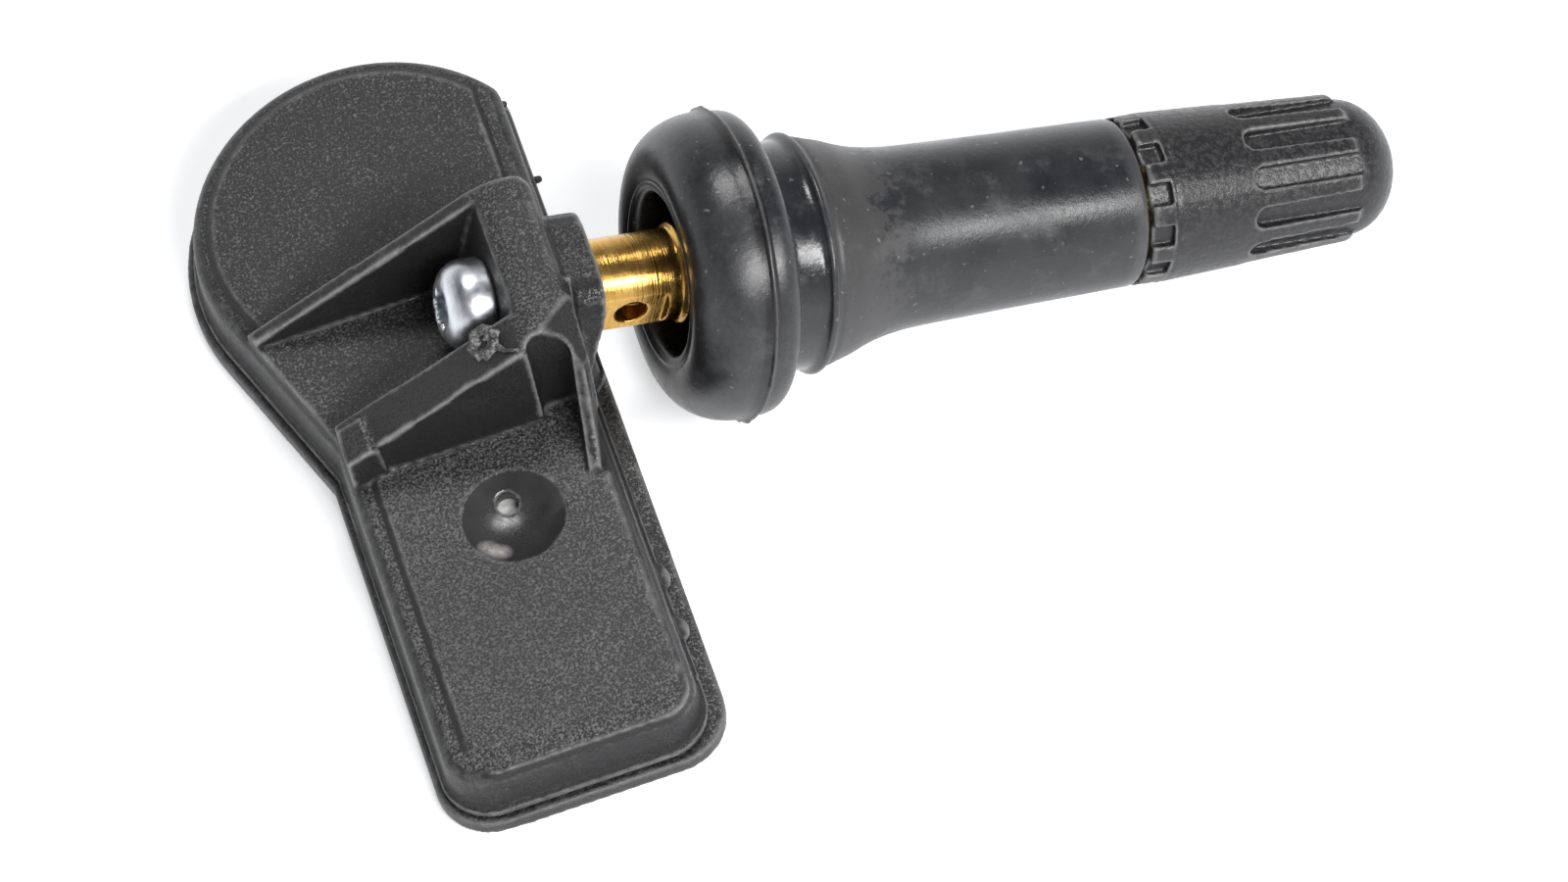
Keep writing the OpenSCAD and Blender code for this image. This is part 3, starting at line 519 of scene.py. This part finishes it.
def spun(name, section, steps, closed=True):
    bm = bmesh.new()
    corners = [bm.verts.new((s * MM, r * MM, 0)) for r, s in section]
    edges = [bm.edges.new(pair) for pair in zip(corners, corners[1:])]
    if closed:
        edges.append(bm.edges.new((corners[-1], corners[0])))
    bmesh.ops.spin(bm, geom=corners + edges, cent=(0, 0, 0), axis=(1, 0, 0), angle=math.tau,
                   steps=steps, use_merge=True)
    bmesh.ops.remove_doubles(bm, verts=bm.verts, dist=0.0005 * MM)
    return closed_up(bm, name)


def ring_arc(centre, half_r, half_s, start, end, steps):
    return [(centre[0] + half_r * math.cos(math.radians(a)), centre[1] + half_s * math.sin(math.radians(a)))
            for a in [start + (end - start) * i / steps for i in range(steps + 1)]]

# %% [markdown]
# The rubber runs from the recess in the flange, over the bead and the bulb, through the groove of the rim
# and the ridge, down the neck to the thread. The mould closes at the widest place, where it leaves a thin
# torn fin. The edge of the fin wanders, with three longer rags where the flash was pulled off.

# %% Rubber body
recess = smooth_line([(4.2, 0.5), (4.6, 0.2), (4.95, -0.6), (5.08, -2.5), (5.12, -3.6), (5.25, -3.95)], 4)
bead = smooth_line([(5.45, -4.0), (5.6, -4.14), (5.76, -4.14), (5.9, -4.03), (6.05, -4.08)], 4)
bulb = ring_arc((6.8, -0.4), 2.85, 3.85, 258, 352, 28)
fin = [(9.66, -0.26), (9.74, -0.14), (9.85, -0.08), (9.86, 0.0), (9.84, 0.06), (9.66, 0.1), (9.55, 0.16)]
shoulder = smooth_line([(9.56, 0.4), (9.55, 0.9), (9.42, 1.4), (9.1, 1.8), (8.6, 1.98), (7.9, 2.02), (7.5, 2.1),
                        (7.28, 2.3), (7.2, 2.7), (7.2, 3.8), (7.24, 4.2), (7.36, 4.42), (7.52, 4.56)], 4)
ridge = smooth_line([(7.6, 4.7), (7.58, 4.86), (7.46, 5.02), (7.3, 5.12), (7.24, 5.3), (7.22, 5.6), (7.04, 6.2),
                     (6.74, 7.2), (6.36, 8.2), (6.04, 9.3), (5.82, 10.6), (5.69, 12.2), (5.6, 15), (5.5, 18.5),
                     (5.43, 22), (5.33, 26.2)], 4)
end = [(5.30, 26.4), (5.22, 26.54), (5.1, 26.6), (3.87, 26.6), (3.87, 25.6), (3.3, 25.0), (3.3, 0.95),
       (2.85, 0.5)]
rubber_mesh = spun("rubber_skin", recess + bead + bulb + fin + shoulder + ridge + end, 192)

FIN_FOOT = 9.7
FIN_HEIGHT = 0.15
RAG_WIDTH = 3.5  # degrees
RAGS = {37: 0.16, 212: 0.2, 222: 0.12}  # degrees round the stem: how far the rag stands out
for corner in rubber_mesh.vertices:
    across = Vector((0, corner.co.y, corner.co.z))
    radius = across.length / MM
    if radius > FIN_FOOT:
        angle = math.degrees(math.atan2(corner.co.z, corner.co.y)) % 360
        wander = 0.07 * noise.noise(across / MM * 0.9) + 0.05 * noise.noise(across / MM * 3.1)
        ragged = 0.7 + 0.6 * noise.noise(across / MM * 5)
        rag = sum(size * math.exp(-((angle - at) / RAG_WIDTH) ** 2) * ragged for at, size in RAGS.items())
        share = (radius - FIN_FOOT) / FIN_HEIGHT
        corner.co += across.normalized() * (wander + rag - 0.03) * share * MM
rubber_mesh.transform(STEM)
mark_bends(rubber_mesh, 8, 0.08)
finished("rubber_skin", rubber_mesh, valve_rubber, "sensor", ["rubber_body"])

# %% [markdown]
# The thread of the cap is a spun sleeve on the stem. Its points sit in even rings, so a push that grows and
# shrinks once a turn makes a clean helix of them. It fades out at both ends.

# %% Thread
PITCH = 0.794
THREAD_DEPTH = 0.42
FADE = 0.6
RINGS_A_TURN = 12
OUTER, MIDDLE, INNER = 3.85, 3.5, 3.25  # radii of the sleeve: only points beyond the middle are pushed
sleeve = [(OUTER, THREAD[0] + i * PITCH / RINGS_A_TURN)
          for i in range(int((THREAD[1] - THREAD[0]) / PITCH * RINGS_A_TURN) + 1)]
sleeve += [(OUTER, THREAD[1]), (INNER, THREAD[1]), (INNER, THREAD[0])]
thread_mesh = spun("stem_thread", sleeve, 96)
for corner in thread_mesh.vertices:
    along, across = corner.co.x / MM, Vector((0, corner.co.y, corner.co.z))
    if across.length / MM > MIDDLE:
        turns = along / PITCH - math.atan2(corner.co.z, corner.co.y) / math.tau
        ends = max(0, min(1, (along - THREAD[0]) / FADE, (THREAD[1] - along) / FADE))
        push = (0.5 - 0.5 * math.cos(math.tau * turns)) ** 0.8 * THREAD_DEPTH * ends
        corner.co -= across.normalized() * push * MM
thread_mesh.transform(STEM)
finished("stem_thread", thread_mesh, brass, "sensor")

# %% [markdown]
# Where the plastic was shot into the mould, the gate was torn off and left a ragged ring with a strand on
# the crest of the rib. The ring is spun, and the strand is swept along a few points. Both are then shaken
# by a noise.

# %% Gate mark and strand
def shaken(mesh, size, scale):
    for corner in mesh.vertices:
        corner.co += size * MM * noise.noise_vector(corner.co / MM * scale)
    return mesh


def strand(name, points, radii):
    bm = bmesh.new()
    loops = []
    for i, (point, radius) in enumerate(zip(points, radii)):
        ahead = Vector(points[min(i + 1, len(points) - 1)]) - Vector(points[max(i - 1, 0)])
        turned = Matrix.Translation(Vector(point) * MM) @ ahead.to_track_quat("Z", "Y").to_matrix().to_4x4()
        made = bmesh.ops.create_circle(bm, cap_ends=i in (0, len(points) - 1), segments=8,
                                       radius=radius * MM, matrix=turned)
        loops.append([edge for edge in bm.edges if all(v in made["verts"] for v in edge.verts)
                      and len(edge.link_faces) < 2 and edge.calc_length() < radius * MM])
    for first, second in zip(loops, loops[1:]):
        bmesh.ops.bridge_loops(bm, edges=first + second)
    return closed_up(bm, name)


crest_slope = math.atan(0.493)
gate_place = Matrix.Translation(Vector((2.24, -15.97, 12.68)) * MM)
gate_section = [(0, 0.05), (0.3, 0.1), (0.5, 0.04), (0.62, 0.12), (0.74, 0.3), (0.86, 0.34), (0.97, 0.24),
                (1.06, 0.1), (1.16, 0.0), (1.2, -0.15), (0.6, -0.2), (0, -0.2)]
gate = shaken(spun("gate_mark", smooth_line(gate_section, 2), 48, closed=False), 0.22, 2.3)
gate.transform(HOUSING @ gate_place @ Matrix.Rotation(-math.pi / 2 - crest_slope, 4, "Y"))
finished("gate_mark", gate, torn_plastic, "sensor")

strand_mesh = strand("torn_strand", [(2.6, -16.5, 12.9), (2.95, -16.85, 13.15), (3.25, -17.3, 13.3),
                                     (3.7, -17.65, 13.5), (4.1, -17.95, 13.6), (4.4, -18.05, 13.6)],
                     [0.12, 0.2, 0.15, 0.13, 0.11, 0.16])
strand_mesh = shaken(strand_mesh, 0.12, 2.9)
strand_mesh.transform(HOUSING)
finished("torn_strand", strand_mesh, torn_plastic, "sensor")

# %% [markdown]
# Two drops of plastic hang on the edge beside the round end. Each is a small spun bead, shaken as well.

# %% Nibs on the edge
for number, (place, size) in enumerate([((8.75, 7.45, 1.35), 0.36), ((9.2, 1.3, 1.3), 0.42)]):
    nib = spun("nib", ring_arc((0, 0), size * 0.6, size, -90, 90, 8), 16, closed=False)
    nib.transform(HOUSING @ Matrix.Translation(Vector(place) * MM))
    finished(f"edge_nib_{number + 1}", shaken(nib, 0.08, 3.7), base_plastic, "sensor")

# %% [markdown]
# A wide floor carries the sensor and takes its shadow. For camera and mirror rays it shines a little, so
# that it turns white around the shadow while the light on the sensor stays plain.

# %% Floor
floor_mesh = bpy.data.meshes.new("floor")
bm = bmesh.new()
bmesh.ops.create_grid(bm, x_segments=1, y_segments=1, size=1.5)
bm.to_mesh(floor_mesh)
bm.free()
floor = bpy.data.objects.new("floor", floor_mesh)
bpy.context.scene.collection.objects.link(floor)
paper = Finish("floor paper", Base_Color=(0.80, 0.81, 0.83), Roughness=0.95, Specular_IOR_Level=0.0)
paper.set("Emission Color", paper.mix(paper.seen_by_rays(), (0, 0, 0), (0.985, 0.99, 1)))
paper.set("Emission Strength", 0.55)
floor_mesh.materials.append(paper.material)
print("floor laid")

# %% [markdown]
# The world is white for the same rays and dim for the rest. Overhead it turns dark, like the ceiling of a
# studio, which gives the rubber its dark upper side.

# %% World
world = bpy.data.worlds.new("studio")
bpy.context.scene.world = world
world.use_nodes = True
sky = Nodes(world.node_tree)
around = sky.node("ShaderNodeTexCoord", out="Generated")
height = sky.node("ShaderNodeSeparateXYZ", {}, {"Vector": around}, "Z")
level = sky.node("ShaderNodeMapRange", {}, {"Value": sky.seen_by_rays(), "To Min": 0.2, "To Max": 1.0},
                 "Result")
ceiling = sky.node("ShaderNodeMapRange", {}, {"Value": height, "From Min": 0.15, "From Max": 0.6,
                   "To Min": 1.0, "To Max": 0.1}, "Result")
background = world.node_tree.nodes["Background"]
sky.feed(background.inputs["Strength"], level * ceiling)
sky.feed(background.inputs["Color"], (1, 1, 1))
bpy.context.scene.view_settings.view_transform = "Standard"
print("world set")

# %% [markdown]
# A wide soft box in front, to the right, draws the band of light along the neck and the brass. A smaller
# one behind lights the channel between the ribs. Both aim at the middle of the sensor.

# %% Lamps
def lamp(name, place, size, power):
    data = bpy.data.lights.new(name, "AREA")
    data.shape = "RECTANGLE"
    data.size, data.size_y = size
    data.energy = power
    holder = bpy.data.objects.new(name, data)
    bpy.context.scene.collection.objects.link(holder)
    holder.location = place
    holder.rotation_euler = (-Vector(place)).to_track_quat("-Z", "Y").to_euler()
    print(name, "power", power)


lamp("soft box in front", (0.17, -0.49, 0.56), (0.55, 0.18), 5.8)
lamp("soft box behind", (0.0, 0.31, 0.73), (0.34, 0.16), 2.6)
